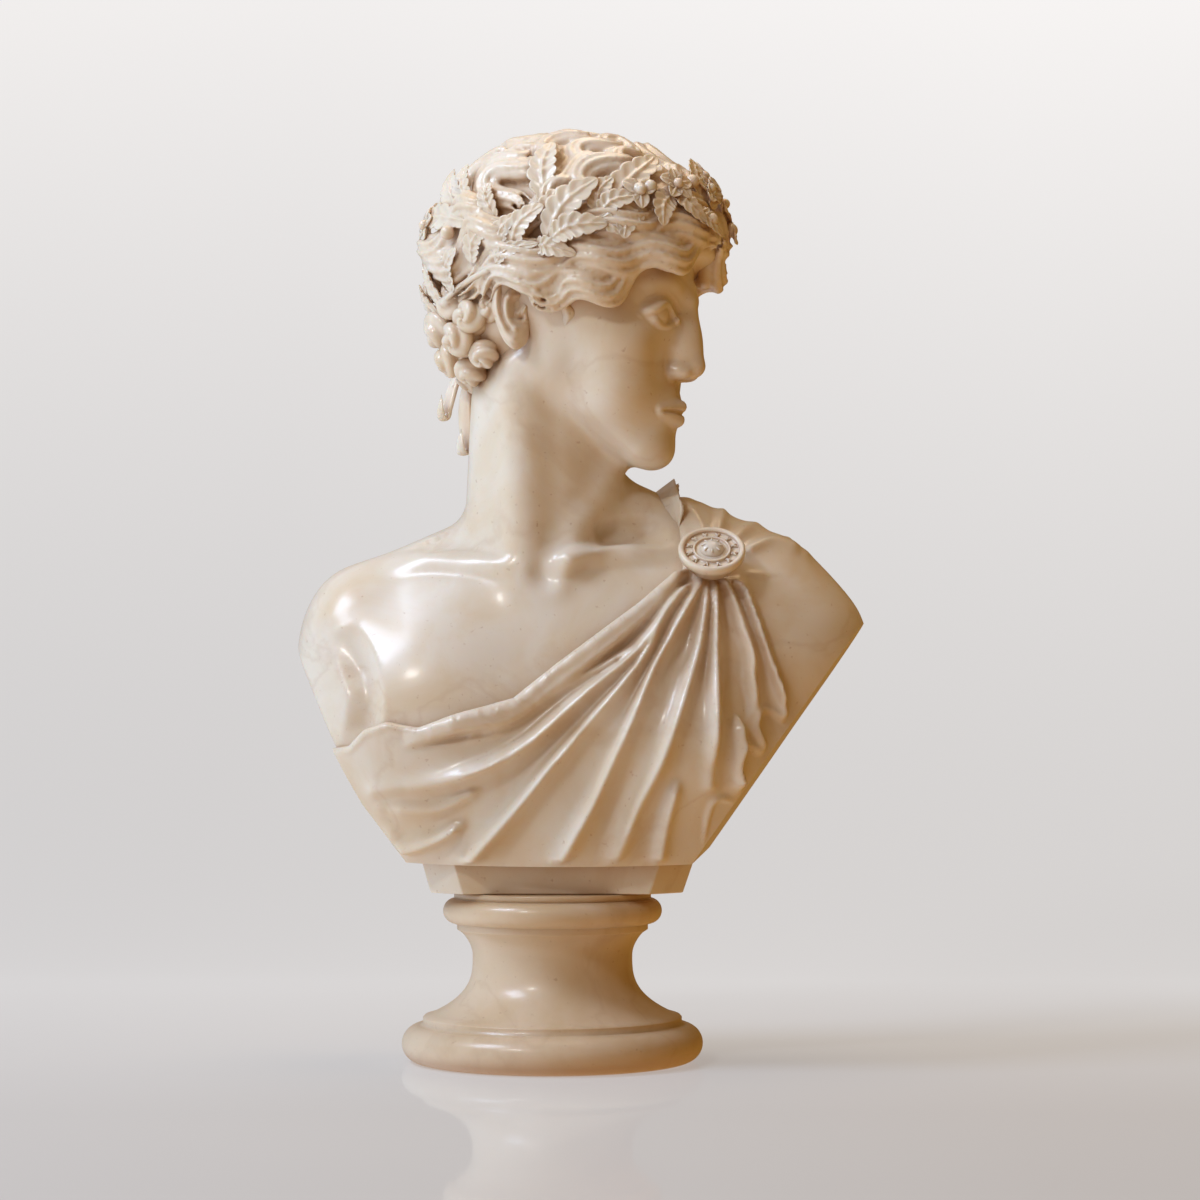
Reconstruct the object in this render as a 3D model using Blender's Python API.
"""A marble bust in classical dress on a turned socle. Metres, +Z up, the chest faces -Y."""

import math

import bmesh
import bpy
import numpy as np
from mathutils import Matrix, Vector
from mathutils.kdtree import KDTree

# Bust, as one carved block
BUST_HEIGHT = 0.581
SEAT_GAP = 0.0003

# Socle, a turned foot: each moulding has its own radius and height
FOOT_RADIUS = 0.114
FOOT_HEIGHT = 0.028
STEP_RADIUS = 0.098
STEP_HEIGHT = 0.006
WAIST_RADIUS = 0.0605
WAIST_HEIGHT = 0.065
NECKING_RADIUS = 0.0724
NECKING_HEIGHT = 0.005
ROLL_RADIUS = 0.083
ROLL_HEIGHT = 0.019
COLLAR_RADIUS = 0.0747
COLLAR_HEIGHT = 0.005
SOCLE_SIDES = 32

SOCLE_HEIGHT = (
    FOOT_HEIGHT + STEP_HEIGHT + WAIST_HEIGHT + NECKING_HEIGHT + ROLL_HEIGHT + COLLAR_HEIGHT
)

# The bust's carving keeps its proportions: its places are millimetres in a block that stands
# on z = 128 and is 581 high, and one unit of them is this long
CARVED_SEAT = 128.0
CARVED_HEIGHT = 581.0
UNIT = BUST_HEIGHT / CARVED_HEIGHT

ROUGH_GRAIN = 4.0
CARVED_GRAIN = 3.0
BUST_TRIANGLES = 8000

# Pose of the head: turned to its left and bent a little
HEAD_CENTRE = np.array((22.0, -4.0, 570.0))
HEAD_TURN = math.radians(70)
HEAD_NOD = math.radians(7)
HEAD_AXES = np.array(Matrix.Rotation(HEAD_TURN, 3, "Z") @ Matrix.Rotation(HEAD_NOD, 3, "X"))

# Hair lies on a cap round the skull
CAP_CENTRE = np.array((0.0, 8.0, 34.0))
CAP_RADII = np.array((90.0, 110.0, 98.0))
NAPE_CENTRE = np.array((0.0, 44.0, -22.0))
NAPE_RADII = np.array((68.0, 56.0, 44.0))


# Distance fields of the masses, all in carving units


def ellipsoid(p, centre, radii):
    q = (p - np.array(centre)) / np.array(radii)
    near = np.linalg.norm(q, axis=1)
    slope = np.linalg.norm(q / np.array(radii), axis=1) + 1e-9
    return near * (near - 1) / slope


def rod(p, start, end, radius, end_radius):
    start, end = np.array(start, float), np.array(end, float)
    along = end - start
    t = np.clip((p - start) @ along / (along @ along), 0, 1)
    away = np.linalg.norm(p - start - t[:, None] * along, axis=1)
    return away - radius - (end_radius - radius) * t


def joined(a, b, soft):
    h = np.clip(0.5 + 0.5 * (b - a) / soft, 0, 1)
    return b + (a - b) * h - soft * h * (1 - h)


def cut_by(a, b, soft):
    return -joined(-a, b, soft)


def within(a, b, soft):
    return -joined(-a, -b, soft)


def path_through(points, count):
    """A smooth curve through a few chosen points."""
    points = np.array(points, float)
    ends = np.vstack([2 * points[0] - points[1], points, 2 * points[-1] - points[-2]])
    t = np.linspace(0, len(points) - 1 - 1e-6, count)
    i = t.astype(int)
    u = (t - i)[:, None]
    a, b, c, d = ends[i], ends[i + 1], ends[i + 2], ends[i + 3]
    bend = (2 * a - 5 * b + 4 * c - d) * u**2 + (3 * b - a - 3 * c + d) * u**3
    return 0.5 * (2 * b + (c - a) * u + bend)


def distance_to_path(p, path):
    """Distance of each point to a drawn line, its share along the line, and its side of it."""
    best = np.full(len(p), 1e9)
    share = np.zeros(len(p))
    side = np.ones(len(p))
    count = len(path) - 1
    for i in range(count):
        a, along = path[i], path[i + 1] - path[i]
        t = np.clip((p - a) @ along / (along @ along), 0, 1)
        off = p - a - t[:, None] * along
        away = np.linalg.norm(off, axis=1)
        nearer = away < best
        best = np.where(nearer, away, best)
        share = np.where(nearer, (i + t) / count, share)
        side = np.where(nearer, np.sign(along[0] * off[:, 1] - along[1] * off[:, 0]), side)
    return best, share, side


def form_of(p, masses):
    """The masses blended in turn: a ball has a centre and three radii, a rod two ends and radii."""
    d = None
    for kind, a, b, size, soft in masses:
        if kind == "ball":
            one = ellipsoid(p, a, size)
        else:
            one = rod(p, a, b, *size)
        d = one if d is None else joined(d, one, soft)
    return d


def ball(centre, radii, soft=0.0):
    return "ball", centre, None, radii, soft


def limb(start, end, radius, end_radius, soft=0.0):
    return "limb", start, end, (radius, end_radius), soft


# Body

TORSO = (
    ball((14, 10, 254), (194, 86, 142)),
    ball((12, 14, 332), (172, 62, 52), 40),
    ball((-146, 16, 304), (50, 58, 64), 20),
    ball((168, 18, 315), (66, 58, 56), 26),
    ball((8, 10, 190), (150, 84, 90), 20),
    limb((-20, 22, 400), (-140, 22, 338), 30, 34, 30),
    limb((46, 22, 404), (152, 22, 354), 40, 42, 30),
    ball((-86, -22, 258), (82, 60, 74), 30),
    ball((84, -42, 240), (56, 44, 50), 24),
)
NECK = (
    limb((-10, 12, 350), (-5, 10, 500), 60, 58),
    limb((-20, -42, 362), (-24, -34, 520), 15, 18, 14),
    limb((2, -50, 360), (56, -4, 474), 8, 10, 16),
)


def torso_form(p):
    return form_of(p, TORSO)


def skin_form(p):
    d = joined(torso_form(p), form_of(p, NECK), 16)
    return cut_by(d, ellipsoid(p, (-4, -70, 366), (11, 14, 11)), 10)


# Head, in its own upright frame


def to_head(p):
    return (p - HEAD_CENTRE) @ HEAD_AXES


def from_head(q):
    return q @ HEAD_AXES.T + HEAD_CENTRE


SKULL = (
    ball((0, 16, 30), (76, 88, 86)),
    ball((0, -22, -2), (62, 63, 80), 26),
    limb((42, 2, -50), (13, -62, -98), 18, 14, 24),
    ball((0, -50, -70), (34, 38, 34), 18),
    ball((0, -70, -102), (17, 15, 13), 14),
    ball((43, -47, -24), (17, 22, 16), 20),
    ball((33, -47, -54), (22, 24, 26), 20),
)
EYE_SOCKET = ((30, -96, 3), (18, 17, 12))
EYEBALL = ((31, -65.5, -1), (16, 15, 14))
FEATURES = (
    limb((12, -80, 20), (44, -66, 20), 5, 4, 10),
    limb((0, -83, 22), (0, -97, -34), 6, 6, 10),
    ball((5, -84, -22), (9, 12, 20), 9),
    ball((0, -95, -37), (8, 9, 8), 7),
    ball((10, -90, -41), (7, 9, 6.5), 5),
    limb((0, -88.5, -66), (22, -80, -71), 4.6, 2.4, 4),
    limb((0, -87.5, -77), (19, -81, -73), 5.2, 2.4, 4),
)
LID_LINE = (((16, -5), (22, 3), (30, 7), (38, 6), (49, -4)), 5, 2.6)


def head_form(q):
    m = np.column_stack([np.abs(q[:, 0]), q[:, 1], q[:, 2]])
    d = form_of(m, SKULL)
    d = cut_by(d, ellipsoid(m, *EYE_SOCKET), 9)
    d = joined(d, ellipsoid(m, *EYEBALL), 2)
    for feature in FEATURES:
        d = joined(d, form_of(m, (feature,)), feature[4])
    return d


def lid_relief(p):
    """The upper lids stand off the eyes."""
    q = to_head(p)
    across_up = np.column_stack([np.abs(q[:, 0]), q[:, 2]])
    return np.where(q[:, 1] < -55, fold_height(across_up, (LID_LINE,)), 0)


def hair_side(q):
    """Above 0 where hair grows: forehead, temple, ear and nape lie on one slanting plane."""
    return 0.49 * q[:, 1] + 0.872 * q[:, 2] + 5.0


def cap_form(q):
    d = ellipsoid(q, CAP_CENTRE, CAP_RADII)
    d = within(d, -hair_side(q), 6)
    d = joined(d, ellipsoid(q, NAPE_CENTRE, NAPE_RADII), 14)
    m = np.column_stack([np.abs(q[:, 0]), q[:, 1], q[:, 2]])
    return cut_by(d, ellipsoid(m, (92, 12, -14), (24, 22, 32)), 8)


def head_in_place(p):
    q = to_head(p)
    return joined(head_form(q), cap_form(q), 5)


# Drapery

NECKLINE = (
    (84, 470), (89, 428), (96, 400), (98, 370), (66, 342), (7, 298), (-27, 271), (-64, 261),
    (-97, 251), (-120, 256), (-138, 250), (-150, 238), (-230, 228),
)
BAND = ((101, 366), (74, 334), (34, 300), (2, 276), (-32, 255), (-70, 247), (-104, 238))

# Collar bones stand off the skin as folds do off the cloth; hollows lie over them, and a crease
# parts breast and arm
COLLAR_BONES = (
    (((-132, 372), (-96, 378), (-60, 375), (-22, 370)), 11, 5),
    (((100, 383), (60, 381), (24, 379), (2, 370)), 11, 7),
)
HOLLOWS = (
    (((90, 398), (60, 400), (30, 396)), 14, 6),
    (((-149, 304), (-140, 286), (-136, 266), (-142, 240)), 13, 8),
)

# Each fold: chosen points in front view, its half width at its end, and its height
FOLDS = (
    (((112, 360), (84, 312), (60, 252), (35, 203), (14, 167), (-4, 136)), 15, 13),
    (((115, 358), (105, 300), (84, 234), (62, 191), (40, 136)), 14, 11),
    (((120, 360), (120, 330), (119, 296), (118, 250), (116, 210)), 11, 12),
    (((125, 360), (131, 352), (141, 326), (148, 304), (147, 280), (154, 240)), 11, 11),
    (((133, 360), (144, 350), (161, 312), (170, 284), (174, 262)), 11, 10),
    (((136, 262), (138, 232), (138, 198)), 11, 9),
    (((150, 366), (186, 346), (208, 318), (214, 300)), 15, 4),
    (((102, 356), (87, 342), (60, 303), (23, 273), (-25, 234), (-74, 215), (-130, 206)), 15, 12),
    (((96, 350), (81, 333), (60, 288), (11, 234), (-25, 191), (-61, 152), (-74, 136)), 15, 13),
    (((-66, 180), (-88, 168), (-112, 163), (-130, 180)), 13, 9),
    (((72, 316), (23, 288), (-25, 258), (-58, 247)), 10, 8),
    (((-54, 206), (-86, 192), (-126, 194)), 13, 5),
    (((92, 210), (84, 180), (76, 136)), 12, 7),
)

# Folds that cross the top of the shoulder from front to back
SHOULDER_FOLDS = (
    (((118, 392), (108, 410), (96, 436)), 17, 4),
    (((124, 396), (129, 412), (134, 434)), 11, 4),
    (((136, 392), (150, 404), (170, 412)), 12, 4),
    (((146, 384), (168, 392), (192, 384)), 12, 5),
)
BACK_FOLDS = (
    (((92, 440), (80, 340), (30, 270), (-40, 210), (-90, 190)), 18, 9),
    (((114, 440), (104, 340), (62, 260), (0, 200), (-50, 160)), 18, 9),
    (((132, 440), (126, 340), (100, 250), (50, 160)), 18, 9),
    (((158, 420), (152, 330), (130, 250), (96, 170)), 18, 8),
    (((180, 400), (182, 330), (160, 260)), 16, 7),
    (((70, 330), (10, 290), (-60, 250), (-120, 226)), 16, 8),
)

# The free hem of the pleats below the brooch, where the cloth turns up in zigzag ends
FREE_HEM = (
    (143, 366), (150, 342), (163, 306), (175, 268), (172, 256), (158, 262), (153, 252), (160, 238),
    (154, 230), (142, 236), (138, 222), (144, 204), (138, 193), (124, 196), (119, 186), (116, 168),
    (112, 140),
)
HEM_DROP = 6.0
PLEATED_FROM = 112.0
EYE_FOLD = ((135, 270), (10, 17), 9)
BAND_HEIGHT = 8.0


def cloth_side(p):
    """Above 0 where the cloth lies, measured in front view from its edge."""
    away, _, side = distance_to_path(p[:, [0, 2]], np.array(NECKLINE, float))
    return away * side


def fold_height(x_z, folds):
    high = np.zeros(len(x_z))
    for points, width, height in folds:
        away, share, _ = distance_to_path(x_z, path_through(points, 14))
        wide = width * (0.5 + 0.5 * np.sqrt(share))
        fade = np.clip(share * 8 + 0.45, 0, 1) * np.clip((1 - share) * 5, 0.35, 1)
        ridge = height * fade * np.clip(1 - (away / wide) ** 2, 0, 1) ** 1.3
        high = np.maximum(high, ridge)
    return high


def free_hem(x_z):
    """1 beyond the pleats' free hem, 0 on the pleats."""
    away, _, side = distance_to_path(x_z, path_through(FREE_HEM, 60))
    beyond = np.clip(0.5 + away * side / 3, 0, 1) * np.clip((366 - x_z[:, 1]) / 10, 0, 1)
    return np.where(x_z[:, 0] > PLEATED_FROM, beyond, 0)


def front_relief(x_z):
    beyond = free_hem(x_z)
    high = fold_height(x_z, FOLDS) * (1 - 0.75 * beyond) - HEM_DROP * beyond
    (x, z), (wide, tall), deep = EYE_FOLD
    r = np.hypot((x_z[:, 0] - x) / wide, (x_z[:, 1] - z) / tall)
    high = high - deep * np.clip(1.15 - r, 0, 1) ** 0.8
    away, _, side = distance_to_path(x_z, path_through(BAND, 20))
    band = np.clip(0.5 - away * side / 3, 0, 1) * np.clip((370 - x_z[:, 1]) / 8, 0, 1)
    return np.maximum(high, BAND_HEIGHT * band * np.clip((x_z[:, 0] + 108) / 36, 0, 1))


def carved_relief(points):
    """How far collar bones and lids stand off the skin, and folds, band and hem off the cloth."""
    chest = (points[:, 1] < 0) & (points[:, 2] < 420)
    front_view = points[:, [0, 2]]
    on_chest = fold_height(front_view, COLLAR_BONES) - fold_height(front_view, HOLLOWS)
    relief = np.where(chest, on_chest, 0) + lid_relief(points)
    covered = (points[:, 2] < 470) & (points[:, 2] > 150)
    covered[covered] = cloth_side(points[covered]) > -1
    p = points[covered]
    x_z = p[:, [0, 2]]
    front = np.clip(0.5 - (p[:, 1] - 8) / 40, 0, 1)
    inside = np.clip(-side_cuts(p) / 10, 0, 1)
    behind = fold_height(x_z, BACK_FOLDS) * np.clip((420 - p[:, 2]) / 40, 0, 1)
    high = front_relief(x_z) * front + behind * (1 - front)
    high = np.maximum(high, fold_height(x_z, SHOULDER_FOLDS))
    edge = np.clip((cloth_side(p) + 1) / np.where(p[:, 2] > 396, 14, 4), 0, 1)
    relief[covered] += high * edge * inside
    return relief


def cloth_form(p):
    d = torso_form(p) - 7
    return within(d, -cloth_side(p), 6)


# Foot block and the cut sides


def foot_block(p):
    """The block under the chest: its corners are cut off and its sides lean out upwards."""
    across = np.abs(p[:, 0] - 4) - (95 + 0.33 * (p[:, 2] - 128))
    deep = np.abs(p[:, 1] - 6) - 60
    block = np.maximum(np.maximum(across, deep), (across + deep + 24) / math.sqrt(2))
    return np.maximum(block, np.abs(p[:, 2] - 138) - 22)


def side_cuts(p):
    """The arm's cut end, the rounded lower left and the flat cut of the right side."""
    x, y, z = p.T
    left = -0.803 * (x + 161) - 0.595 * (z - 222)
    stub = -0.881 * (x + 193) - 0.473 * (z - 303) + 0.1 * y
    right = 0.803 * (x - 241) - 0.565 * (z - 330) - 0.08 * y
    return np.maximum(within(left, stub, 3), right)


def trimmed(d, p):
    """The torso's lower sides taper to the foot block, and its back is dressed flat."""
    y, z = p[:, 1], p[:, 2]
    under = (150 - z) + 0.06 * (y + 60)
    d = within(d, side_cuts(p), 4)
    d = within(d, under, 5)
    return within(d, y - 78, 12)


def bust_form(p):
    d = joined(skin_form(p), cloth_form(p), 1.5)
    d = trimmed(d, p)
    d = joined(d, foot_block(p), 5)
    return joined(d, head_in_place(p), 12)


# Carving tools


def remeshed(obj, grain):
    modifier = obj.modifiers.new("skin", "REMESH")
    modifier.mode = "VOXEL"
    modifier.voxel_size = grain
    bake_modifiers(obj)


def bake_modifiers(obj):
    graph = bpy.context.evaluated_depsgraph_get()
    mesh = bpy.data.meshes.new_from_object(obj.evaluated_get(graph))
    old = obj.data
    obj.modifiers.clear()
    obj.data = mesh
    bpy.data.meshes.remove(old)


def slope_at(form, p, step=0.4):
    here = form(p)
    slope = np.empty_like(p)
    for axis in range(3):
        moved = p.copy()
        moved[:, axis] += step
        slope[:, axis] = (form(moved) - here) / step
    return here, slope


def places_of(mesh):
    places = np.empty(len(mesh.vertices) * 3)
    mesh.vertices.foreach_get("co", places)
    return places.reshape(-1, 3)


def relax(obj):
    bm = bmesh.new()
    bm.from_mesh(obj.data)
    bmesh.ops.smooth_vert(bm, verts=bm.verts, factor=0.5, use_axis_x=True, use_axis_y=True, use_axis_z=True)
    bm.to_mesh(obj.data)
    bm.free()


def carve(obj, form, rounds=2):
    """Moves each vertex of the rough skin onto the form, relaxing between the moves."""
    for _ in range(rounds):
        relax(obj)
        p = places_of(obj.data)
        here, slope = slope_at(form, p)
        steep = np.maximum((slope**2).sum(axis=1), 0.3)
        for _ in range(2):
            p = p - slope * np.clip(here / steep, -8, 8)[:, None]
            here = form(p)
        obj.data.vertices.foreach_set("co", p.ravel())
        obj.data.update()


def raise_relief(obj, relief):
    """Moves each vertex outwards by the relief at its place."""
    mesh = obj.data
    p = places_of(mesh)
    normals = np.empty(len(mesh.vertices) * 3)
    mesh.vertex_normals.foreach_get("vector", normals)
    p = p + normals.reshape(-1, 3) * relief(p)[:, None]
    mesh.vertices.foreach_set("co", p.ravel())
    mesh.update()


def blend_in(bm, part):
    """Adds a finished form to the block."""
    part.to_mesh(SPARE)
    part.free()
    bm.from_mesh(SPARE)


def rough_mass(bm, mass, place=None):
    kind, a, b, size, _ = mass
    part = bmesh.new()
    ends = ((a, size),) if kind == "ball" else ((a, (size[0],) * 3), (b, (size[1],) * 3))
    for centre, radii in ends:
        made = bmesh.ops.create_icosphere(part, subdivisions=3, radius=1)["verts"]
        bmesh.ops.scale(part, vec=radii, verts=made)
        bmesh.ops.translate(part, vec=centre, verts=made)
    if kind == "limb":
        hull = bmesh.ops.convex_hull(part, input=part.verts)
        bmesh.ops.delete(part, geom=hull["geom_interior"], context="VERTS")
    if place is not None:
        bmesh.ops.transform(part, matrix=place, verts=part.verts)
    blend_in(bm, part)


def rough_bust(bm):
    """All masses as plain balls and limbs, fused later by the first skin."""
    for mass in TORSO + NECK:
        rough_mass(bm, mass)
    head = Matrix.Translation(Vector(HEAD_CENTRE)) @ Matrix(HEAD_AXES.tolist()).to_4x4()
    other_half = head @ Matrix.Scale(-1, 4, (1, 0, 0))
    hair = (ball(CAP_CENTRE, CAP_RADII), ball(NAPE_CENTRE, NAPE_RADII))
    for mass in SKULL + FEATURES + hair:
        rough_mass(bm, mass, head)
        rough_mass(bm, mass, other_half)
    block = bmesh.new()
    bmesh.ops.create_cube(block, size=1)
    bmesh.ops.scale(block, vec=(188, 112, 50), verts=block.verts)
    bmesh.ops.translate(block, vec=(4, 6, 142), verts=block.verts)
    blend_in(bm, block)


def new_object(name, bm):
    mesh = bpy.data.meshes.new(name)
    bm.to_mesh(mesh)
    bm.free()
    obj = bpy.data.objects.new(name, mesh)
    bpy.context.scene.collection.objects.link(obj)
    return obj


# Swept forms: locks, curls, leaves, stems and ribbons


def add_swept(bm, path, outward, section, around=10, along=14):
    """A closed form along a path. section(share, turn) gives how far across and how far up."""
    part = bmesh.new()
    verts = bmesh.ops.create_uvsphere(part, u_segments=around, v_segments=along, radius=1)["verts"]
    unit = np.array([v.co for v in verts])
    share = np.arccos(np.clip(-unit[:, 2], -1, 1)) / math.pi
    turn = np.arctan2(unit[:, 1], unit[:, 0])
    rows = np.linspace(0, 1, len(path))
    tangent = np.gradient(path, axis=0)
    tangent /= np.linalg.norm(tangent, axis=1)[:, None] + 1e-9
    outward = outward - (outward * tangent).sum(axis=1)[:, None] * tangent
    outward /= np.linalg.norm(outward, axis=1)[:, None] + 1e-9
    beside = np.cross(tangent, outward)
    at = np.column_stack([np.interp(share, rows, path[:, k]) for k in range(3)])
    up = np.column_stack([np.interp(share, rows, outward[:, k]) for k in range(3)])
    side = np.column_stack([np.interp(share, rows, beside[:, k]) for k in range(3)])
    across, high = section(share, turn)
    places = at + side * across[:, None] + up * high[:, None]
    for vert, place in zip(verts, places):
        vert.co = place
    blend_in(bm, part)


def lock_section(width, height, strands=3):
    def section(share, turn):
        full = np.sin(math.pi * share) ** 0.6 * (1 - 0.3 * share)
        across = np.cos(turn)
        groove = 0.5 - 0.5 * np.cos(math.pi * strands * (across + 1))
        high = height * np.sin(turn) * full**0.5
        return width * full * across, np.where(high > 0, high * (0.68 + 0.32 * groove), high)

    return section


def leaf_section(width, thick):
    def section(share, turn):
        full = np.sin(math.pi * share**0.85) ** 0.7
        across = np.cos(turn)
        rib = np.exp(-((across / 0.16) ** 2))
        high = thick * np.sin(turn) * (0.35 + 0.65 * full) * (0.8 + 0.5 * rib) + 2.5 * across**2 * full
        return width * full * across, high

    return section


def flat_section(width, height):
    def section(share, turn):
        full = np.sin(math.pi * share) ** 0.35
        return width * full * np.cos(turn), height * full * np.sin(turn)

    return section


# Hair


def on_cap(around, height, lift=0.0, centre=CAP_CENTRE, radii=CAP_RADII):
    """Place and outward direction on the cap: degrees round from the brow and up from its middle."""
    a, h = np.radians(around), np.radians(height)
    unit = np.column_stack([-np.sin(a) * np.cos(h), -np.cos(a) * np.cos(h), np.sin(h)])
    outward = unit / radii
    outward /= np.linalg.norm(outward, axis=1)[:, None]
    return centre + unit * radii + outward * np.reshape(lift, (-1, 1)), outward


def add_lock(bm, marks, size, lift, wave, waves, phase=0.0, roll=2.5):
    """A wavy lock laid on the cap through chosen marks, each degrees round and degrees up."""
    line = path_through(marks, 40)
    flat = np.maximum(np.cos(np.radians(line[:, 1])), 0.15)
    slant = np.gradient(line, axis=0) * np.column_stack([flat, np.ones(40)])
    slant /= np.linalg.norm(slant, axis=1)[:, None] + 1e-9
    share = np.linspace(0, 1, 40)
    ease = np.sin(math.pi * share) ** 0.4
    swing = math.tau * waves * share + phase
    across = np.column_stack([-slant[:, 1] / flat, slant[:, 0]])
    laid = line + across * (wave * np.sin(swing) * ease)[:, None]
    path, outward = on_cap(laid[:, 0], laid[:, 1], lift + roll * np.cos(swing) * ease)
    add_swept(bm, from_head(path), outward @ HEAD_AXES.T, lock_section(*size), along=28)


def add_curl(bm, around, height, size, way=1):
    """A snail curl on the nape: a lock wound up and in over a round boss."""
    centre, outward = on_cap(np.array([around]), np.array([height]), 1, NAPE_CENTRE, NAPE_RADII)
    outward = outward[0]
    beside = np.cross((0, 0, 1), outward)
    beside /= np.linalg.norm(beside)
    over = np.cross(outward, beside)
    rough_mass(bm, ball(from_head(centre - outward * 0.3 * size)[0], (0.76 * size,) * 3))
    turns = np.linspace(0, 2.3 * math.pi, 34)
    reach = size * (0.74 - 0.62 * turns / turns[-1])
    rise = 0.58 * size * np.sqrt(1 - (reach / size) ** 2) - 0.12 * size
    path = (
        centre[0]
        + np.outer(reach * np.cos(turns + height) * way, beside)
        + np.outer(reach * np.sin(turns + height), over)
        + np.outer(rise, outward)
    )
    normals = np.tile(outward, (len(path), 1))
    section = lock_section(size * 0.22, size * 0.34, 1)
    add_swept(bm, from_head(path), normals @ HEAD_AXES.T, section, along=20)


# Rings of locks from the crown down: how many, degrees up at their top and low ends
CROWN_RINGS = ((8, 86, 54), (12, 68, 34), (16, 46, 14))


def crown_locks(bm):
    for ring, (count, top, low) in enumerate(CROWN_RINGS):
        for i in range(count):
            around = 360 * (i + 0.5 * (ring % 2)) / count
            bend = 16 if i % 2 else 8
            marks = ((around - 12, top), (around + bend, (top + low) / 2), (around - 4, low))
            add_lock(bm, marks, (13, 9, 2), 1 + ring % 2, 5, 1.3, 1.9 * i, 1.2)


# Locks drawn back from the parting, in degrees round and up, on both sides: the lowest lies
# along the brow, the next over the temple, and the others run back over the ear
FRINGE = (
    (((2, 16), (20, 11), (38, 4), (54, -6), (66, -14), (78, -20), (90, -16)), 4.8, 3.0, 0.0),
    (((2, 24), (20, 19), (40, 12), (58, 3), (72, -5), (88, -9), (104, -14), (118, -24)), 4.8, 3.3, 2.4),
    (((4, 32), (24, 27), (44, 21), (62, 12), (80, 3), (98, -4), (114, -11), (130, -22)), 4.2, 3.3, 4.4),
    (((84, 14), (104, 8), (122, 0), (140, -10), (160, -20)), 3.0, 2.2, 1.0),
    (((110, 20), (128, 12), (146, 0), (164, -10), (180, -14)), 3.0, 2.2, 4.0),
)


def fringe_locks(bm, side):
    for row, (marks, wave, waves, phase) in enumerate(FRINGE):
        laid = [(side * a, h) for a, h in marks]
        add_lock(bm, laid, (12, 9, 3), row, wave * side, waves, phase, 4)


# Snail curls of the nape: degrees round and up on its own swelling, and size
CURLS = (
    (134, 20, 17), (112, 26, 14), (106, 4, 15), (154, -4, 18), (116, -14, 16), (97, -28, 12),
    (148, -32, 16), (122, -44, 14), (166, -52, 13), (92, 14, 12), (156, 36, 16),
)


def nape_locks(bm):
    """Curls round the nape from ear to ear, in rows that narrow towards the ribbons."""
    for i, (around, height, size) in enumerate(CURLS):
        for side in (1, -1):
            add_curl(bm, side * around, height, size, side * (1 if i % 2 else -1))
    for height, size in ((16, 16), (-18, 15)):
        add_curl(bm, 180, height, size)


# Each ridge of the ear: places out from the head's middle, back and up, then half width and height
RIM = (
    (73, 9, -12), (79, 12, -1), (84, 18, 12), (87, 28, 16), (89, 37, 9), (88, 38, -6), (85, 33, -20),
    (81, 24, -32), (77, 15, -39), (74, 9, -34),
)
EAR_RIDGES = (
    (RIM, 5.0, 5.4),
    (((81, 27, 8), (84, 31, 0), (84, 31, -10), (82, 26, -20), (79, 18, -27)), 4.2, 5.0),
    (((77, 9, -8), (81, 10, -16), (77, 10, -26)), 4.8, 5.0),
    (((75, 27, 12), (77, 26, -10), (75, 18, -34)), 15, 7),
)


def ears(bm):
    """Each ear: a raised rim curling round to the lobe, an inner ridge, and a hollow shell."""
    for side in (-1, 1):
        outward = np.array((side * 0.93, -0.36, 0.08))
        for points, wide, high in EAR_RIDGES:
            path = path_through([(side * x, y, z) for x, y, z in points], 18)
            normals = np.tile(outward, (len(path), 1))
            add_swept(bm, from_head(path), normals @ HEAD_AXES.T, flat_section(wide, high), along=20)


# Wreath, berries and ribbons

# Leaves of one side: stem end and tip in degrees round and up, half width, and lift at both ends
LEAVES = (
    ((146, -32), (160, -14), 11, 7, 15), ((140, -26), (146, -6), 9, 6, 12), ((128, -20), (122, -2), 9, 8, 12),
    ((115, -8), (105, 8), 10, 8, 13), ((102, -6), (96, 12), 9, 8, 13), ((97, -3), (86, 16), 10, 10, 15),
    ((86, 9), (75, 24), 10, 9, 13), ((84, 3), (67, 29), 13, 11, 16), ((82, 3), (62, 11), 11, 13, 15),
    ((88, 0), (72, -2), 8, 9, 11), ((103, -8), (86, 1), 6, 10, 12), ((86, 18), (93, 49), 12, 5, 12),
    ((124, 12), (150, 32), 11, 7, 16), ((122, 14), (136, 34), 10, 7, 15), ((106, 10), (113, 25), 8, 8, 13),
    ((118, 9), (154, 11), 11, 8, 13), ((66, 14), (35, 47), 13, 9, 13), ((66, 14), (61, 31), 9, 9, 14),
    ((66, 14), (50, 24), 9, 11, 15), ((66, 14), (56, 8), 8, 10, 13), ((47, 21), (56, 6), 10, 9, 13),
    ((33, 29), (41, 13), 10, 10, 14), ((31, 30), (19, 17), 10, 10, 15), ((22, 24), (8, 14), 9, 10, 15),
    ((160, -30), (176, -12), 10, 7, 13), ((170, -22), (172, 2), 9, 6, 12), ((152, 0), (168, 20), 10, 7, 13),
    ((14, 28), (4, 48), 10, 9, 17), ((8, 26), (-5, 38), 9, 11, 19), ((170, 12), (178, 34), 9, 7, 13),
)
FLOWERS = ((31, 32), (-31, 32), (6, 34), (-12, 30), (150, 8), (205, 6))
BERRIES = ((50, 27), (-6, 42), (18, 36), (-50, 27), (128, 4), (232, 4))


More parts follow.
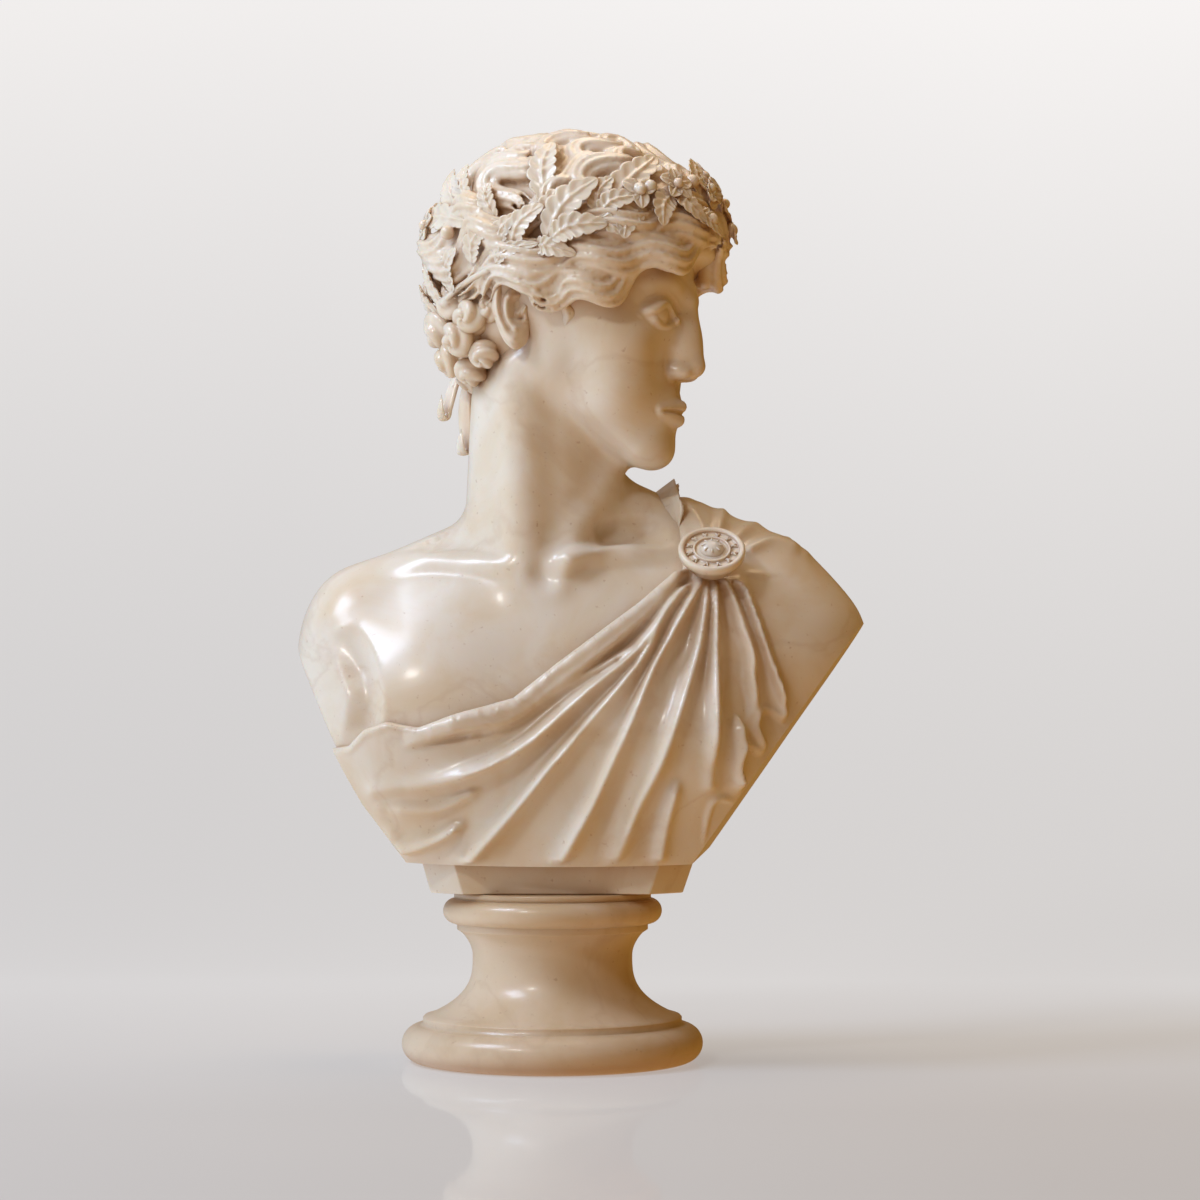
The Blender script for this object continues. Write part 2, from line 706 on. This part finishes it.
def add_leaf(bm, base, tip, width, lift, bend):
    """A leaf from its stem to its tip, each degrees round and up; it stands off at the tip."""
    middle = ((base[0] + tip[0]) / 2 + bend, (base[1] + tip[1]) / 2 + abs(bend) * 0.4)
    line = path_through((base, middle, tip), 12)
    steps = np.linspace(0, 1, 12)
    curl = lift[0] + (lift[1] - lift[0]) * steps**1.3 + 2.5 * np.sin(math.pi * steps)
    path, outward = on_cap(line[:, 0], line[:, 1], curl)
    add_swept(bm, from_head(path), outward @ HEAD_AXES.T, leaf_section(width, 3.0), around=8, along=10)


def wreath(bm):
    """Leaves grow from the stem on both sides of the head, from the back towards the brow."""
    for side in (1, -1):
        for base, tip, width, low, high in LEAVES:
            add_leaf(bm, (side * base[0], base[1]), (side * tip[0], tip[1]), width, (low, high), side * 3)
        around = np.linspace(4, 172, 60) * side
        path, outward = on_cap(around, -2 + 28 * np.cos(np.radians(around)), 7)
        add_swept(bm, from_head(path), outward @ HEAD_AXES.T, flat_section(3, 3), along=60)


def flower(bm, around, up, petals=5, size=15):
    """A small rosette of broad petals round a bud."""
    centre, outward = on_cap(np.array([around]), np.array([up]), 9)
    outward = outward[0]
    beside = np.cross((0, 0, 1), outward)
    beside /= np.linalg.norm(beside)
    over = np.cross(outward, beside)
    for i in range(petals):
        a = math.tau * (i + 0.3) / petals
        way = math.cos(a) * beside + math.sin(a) * over
        steps = np.linspace(0, 1, 8)[:, None]
        path = centre[0] + way * size * steps + outward * (6 - 4 * (steps - 0.6) ** 2)
        normals = np.tile(outward, (len(path), 1))
        add_swept(bm, from_head(path), normals @ HEAD_AXES.T, leaf_section(7, 3), around=8, along=6)
    rough_mass(bm, ball(from_head(centre + outward * 7)[0], (4, 4, 4)))


def flowers(bm):
    for around, up in FLOWERS:
        flower(bm, around, up)
    for around, up in BERRIES:
        place, _ = on_cap(np.array([around]), np.array([up]), 11)
        rough_mass(bm, ball(from_head(place)[0], (6, 6, 6)))


RIBBONS = (
    (((-66, 38, 545), (-77, 36, 520), (-83, 33, 498)), 5.0),
    (((-60, 31, 540), (-68, 26, 506), (-67, 20, 470)), 6.0),
)
RIBBON_ACROSS = np.array((0.86, -0.5, 0.0))
RIBBON_FRONT = np.array((-0.5, -0.86, 0.0))


def ribbons(bm):
    """The wreath's tie hangs behind the neck in a short and a long loop, each turned up at its end."""
    for points, wide in RIBBONS:
        hang = path_through(points, 24)
        turned = [
            hang[-1] + RIBBON_FRONT * 4.5 * (1 - math.cos(a)) + np.array((0, 0, -7.5 * math.sin(a)))
            for a in np.radians(np.linspace(15, 200, 12))
        ]
        path = np.vstack([hang, turned])
        outward = np.cross(RIBBON_ACROSS, np.gradient(path, axis=0))
        add_swept(bm, path, outward, flat_section(wide, 3), along=32)


# Brooch

BROOCH_CENTRE = (119.0, -58.0, 380.0)
BROOCH_TILT = math.radians(44)


def brooch(bm):
    """A round pin: dished disc, raised rim and ring, and a domed middle."""
    profile = (
        (0, 11), (5, 10), (9, 5), (12, 4.4), (13.3, 6.2), (15, 4.2), (19.6, 4.2), (21, 6), (22.6, 7),
        (24.6, 5), (24.8, 1), (19, -1.6), (17, -10), (0, -10),
    )
    part = bmesh.new()
    edge = [part.verts.new((x, 0, z)) for x, z in profile]
    edges = [part.edges.new(pair) for pair in zip(edge, edge[1:])]
    bmesh.ops.spin(
        part, geom=edge + edges, cent=(0, 0, 0), axis=(0, 0, 1), angle=math.tau, steps=24, use_merge=True
    )
    bmesh.ops.remove_doubles(part, verts=part.verts, dist=0.01)
    bmesh.ops.recalc_face_normals(part, faces=part.faces)
    place = Matrix.Translation(BROOCH_CENTRE) @ Matrix.Rotation(BROOCH_TILT, 4, "X")
    bmesh.ops.transform(part, matrix=place, verts=part.verts)
    blend_in(bm, part)


# Pieces


def stone(name, colour, roughness):
    material = bpy.data.materials.new(name)
    material.use_nodes = True
    shader = material.node_tree.nodes["Principled BSDF"]
    shader.inputs["Base Color"].default_value = colour
    shader.inputs["Roughness"].default_value = roughness
    return material


def keep_largest(bm):
    """Deletes the closed bubbles that the skin encloses, and any crumb that only touches it."""
    seen, shells = set(), []
    for first in bm.faces:
        if first in seen:
            continue
        shell, stack = [], [first]
        seen.add(first)
        while stack:
            face = stack.pop()
            shell.append(face)
            for edge in face.edges:
                for other in edge.link_faces:
                    if other not in seen:
                        seen.add(other)
                        stack.append(other)
        shells.append(shell)
    shells.sort(key=len)
    for shell in shells[:-1]:
        bmesh.ops.delete(bm, geom=shell, context="FACES")


def draw_back_pinches(bm, near=0.02, back=0.08):
    """Where two parts of the skin meet in one point, draws each back a hair, so it stays closed."""
    tree = KDTree(len(bm.verts))
    for index, vert in enumerate(bm.verts):
        tree.insert(vert.co, index)
    tree.balance()
    pinched = [vert for vert in bm.verts if len(tree.find_range(vert.co, near)) > 1]
    for vert, normal in [(vert, vert.normal.copy()) for vert in pinched]:
        vert.co -= back * normal


def thin(obj, triangles):
    """Leaves the skin fewer, larger facets."""
    decimate = obj.modifiers.new("facets", "DECIMATE")
    decimate.ratio = triangles / sum(len(face.vertices) - 2 for face in obj.data.polygons)
    bake_modifiers(obj)


def bust_piece():
    bm = bmesh.new()
    rough_bust(bm)
    obj = new_object("bust", bm)
    remeshed(obj, ROUGH_GRAIN)
    carve(obj, bust_form)
    raise_relief(obj, carved_relief)
    bm = bmesh.new()
    bm.from_mesh(obj.data)
    crown_locks(bm)
    for side in (1, -1):
        fringe_locks(bm, side)
    nape_locks(bm)
    ears(bm)
    wreath(bm)
    flowers(bm)
    ribbons(bm)
    brooch(bm)
    bm.to_mesh(obj.data)
    bm.free()
    remeshed(obj, CARVED_GRAIN)
    thin(obj, BUST_TRIANGLES)
    seat_bust(obj)
    obj.data.materials.append(stone("marble", (0.71, 0.62, 0.50, 1), 0.25))
    return obj


def seat_bust(obj):
    """Cuts the underside flat and sets the carving to its real size on the socle."""
    bm = bmesh.new()
    bm.from_mesh(obj.data)
    keep_largest(bm)
    draw_back_pinches(bm)
    everything = bm.verts[:] + bm.edges[:] + bm.faces[:]
    plane = (0, 0, CARVED_SEAT)
    cut = bmesh.ops.bisect_plane(
        bm, geom=everything, plane_co=plane, plane_no=(0, 0, -1), clear_outer=True
    )
    rim = [part for part in cut["geom_cut"] if isinstance(part, bmesh.types.BMEdge)]
    bmesh.ops.holes_fill(bm, edges=rim)
    place = Matrix.Translation((0, 0, SOCLE_HEIGHT + SEAT_GAP)) @ Matrix.Scale(UNIT, 4)
    bmesh.ops.transform(bm, matrix=place @ Matrix.Translation((0, 0, -CARVED_SEAT)), verts=bm.verts)
    bmesh.ops.recalc_face_normals(bm, faces=bm.faces)
    bm.to_mesh(obj.data)
    bm.free()


def half_round(bottom, height, radius, count=7):
    """Points of a rounded moulding that swells to its radius, from its top down."""
    rise = height / 2
    return [
        (radius - rise + rise * math.cos(a), bottom + rise + rise * math.sin(a))
        for a in np.linspace(math.pi / 2, -math.pi / 2, count)
    ]


def hollow_curve(bottom, height, top_radius, waist_radius, low_radius, count=9):
    """Points of the hollow between the roll and the foot, narrowest near its top."""
    narrow = 0.70
    points = []
    for share in np.linspace(1, 0, count):
        if share > narrow:
            swell = (share - narrow) / (1 - narrow)
            radius = waist_radius + (top_radius - waist_radius) * swell**2
        else:
            swell = 1 - share / narrow
            radius = waist_radius + (low_radius - waist_radius) * swell**3
        points.append((radius, bottom + height * share))
    return points


def socle_profile():
    """Half outline from the middle of the top, down the outside, to the middle of the foot."""
    top = SOCLE_HEIGHT
    collar = top - COLLAR_HEIGHT
    roll = collar - ROLL_HEIGHT
    necking = roll - NECKING_HEIGHT
    step = FOOT_HEIGHT + STEP_HEIGHT
    profile = [(0, top), (COLLAR_RADIUS, top), (COLLAR_RADIUS, collar)]
    profile += half_round(roll, ROLL_HEIGHT, ROLL_RADIUS)
    profile += [(NECKING_RADIUS, roll), (NECKING_RADIUS, necking)]
    profile += hollow_curve(step, WAIST_HEIGHT, NECKING_RADIUS - 0.002, WAIST_RADIUS, STEP_RADIUS - 0.002)
    profile += [(STEP_RADIUS, step), (STEP_RADIUS, FOOT_HEIGHT)]
    profile += half_round(0, FOOT_HEIGHT, FOOT_RADIUS)
    profile.append((0, 0))
    return profile


def socle_piece():
    bm = bmesh.new()
    line = [bm.verts.new((x, 0, z)) for x, z in socle_profile()]
    edges = [bm.edges.new(pair) for pair in zip(line, line[1:])]
    bmesh.ops.spin(
        bm,
        geom=line + edges,
        cent=(0, 0, 0),
        axis=(0, 0, 1),
        angle=math.tau,
        steps=SOCLE_SIDES,
        use_merge=True,
    )
    bmesh.ops.remove_doubles(bm, verts=bm.verts, dist=1e-5)
    bmesh.ops.recalc_face_normals(bm, faces=bm.faces)
    obj = new_object("socle", bm)
    obj.data.materials.append(stone("turned marble", (0.68, 0.58, 0.46, 1), 0.28))
    return obj


for old in list(bpy.data.objects):
    bpy.data.objects.remove(old)
SPARE = bpy.data.meshes.new("form")
bust_piece()
socle_piece()
bpy.data.meshes.remove(SPARE)
